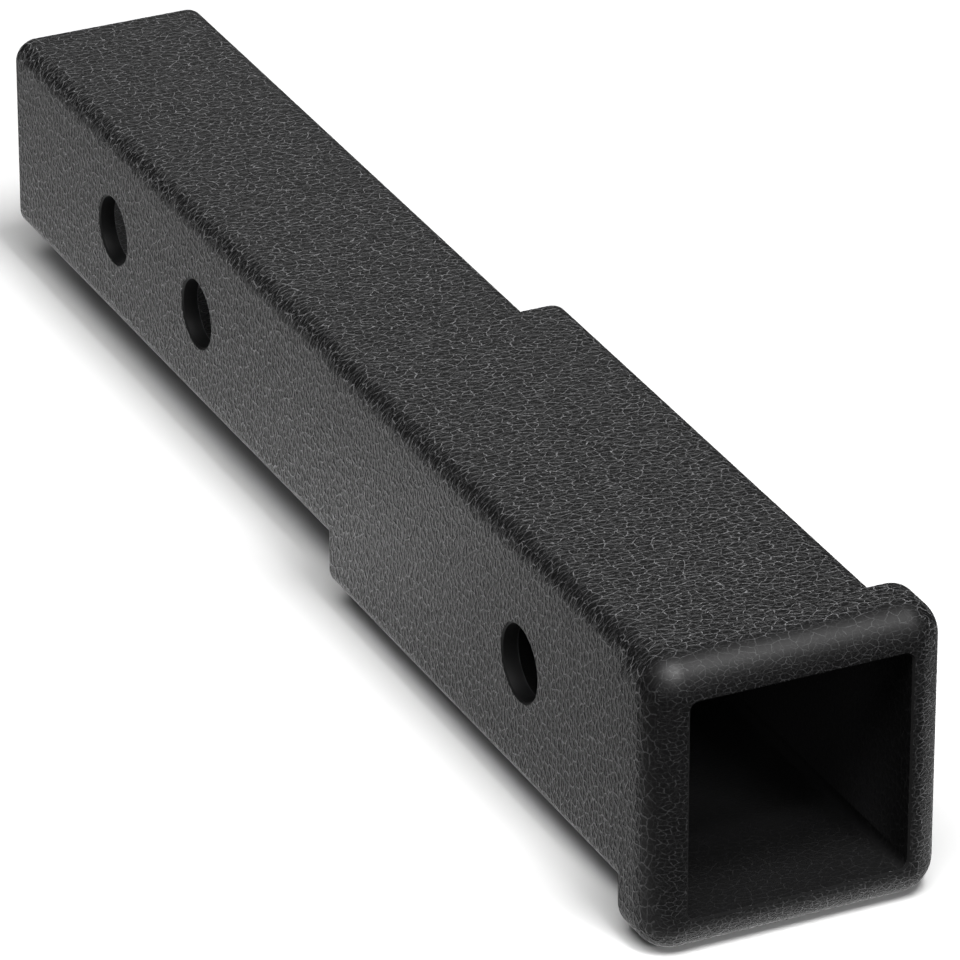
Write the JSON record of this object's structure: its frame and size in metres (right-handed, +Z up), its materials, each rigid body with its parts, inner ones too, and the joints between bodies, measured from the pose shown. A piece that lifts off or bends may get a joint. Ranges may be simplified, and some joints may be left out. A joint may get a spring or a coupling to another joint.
{
  "type": "hitch receiver extender",
  "caption": "Welded square-tube extender for a towing hitch receiver, with a pin-drilled shank and a wider receiver tube with a bullnose collar round its mouth.",
  "frame": {"origin": "on the tubes' common axis, at the centre of the shank's pin hole nearest its free end", "axes": "+X along the tubes towards the receiver mouth, +Z up, pin holes along Y"},
  "size_m": [0.37, 0.07, 0.07],
  "materials": {
    "powder_coat": "matte black crackle powder coat over steel",
    "coated_weld": "weld bead under the same black powder coat"
  },
  "bodies": {
    "root": {"shank_tube": "powder_coat", "receiver_tube": "powder_coat", "collar": "powder_coat", "shank_weld_top": "coated_weld", "shank_weld_left": "coated_weld", "shank_weld_bottom": "coated_weld", "shank_weld_right": "coated_weld", "collar_weld_top": "coated_weld", "collar_weld_left": "coated_weld", "collar_weld_bottom": "coated_weld", "collar_weld_right": "coated_weld"}
  },
  "joints": []
}
